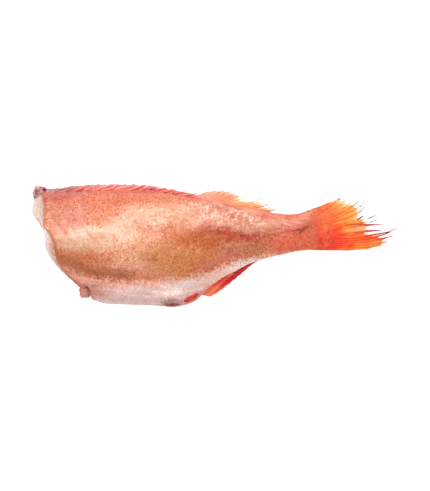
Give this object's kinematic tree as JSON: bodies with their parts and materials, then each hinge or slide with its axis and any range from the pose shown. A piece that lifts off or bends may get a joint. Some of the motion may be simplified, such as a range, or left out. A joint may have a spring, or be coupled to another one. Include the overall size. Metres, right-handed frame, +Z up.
{
  "type": "headless raw redfish",
  "caption": "Raw whole redfish with its head and guts removed, lying on its side, with a slanting cut, spiny fin folded along the back, soft back fin, anal fin and frayed tail fin.",
  "frame": {"origin": "under the middle of the fish's outline, on the surface that the fish lies on", "axes": "+X along the fish from the cut behind the head to the tail, +Y from the belly to the back, +Z up out of the side that shows"},
  "size_m": [0.2623, 0.0881, 0.0427],
  "materials": {
    "fish_skin": "gloss",
    "fin": "gloss",
    "cut_flesh": "gloss"
  },
  "bodies": {
    "root": {"fish": "fish_skin"}
  },
  "joints": []
}
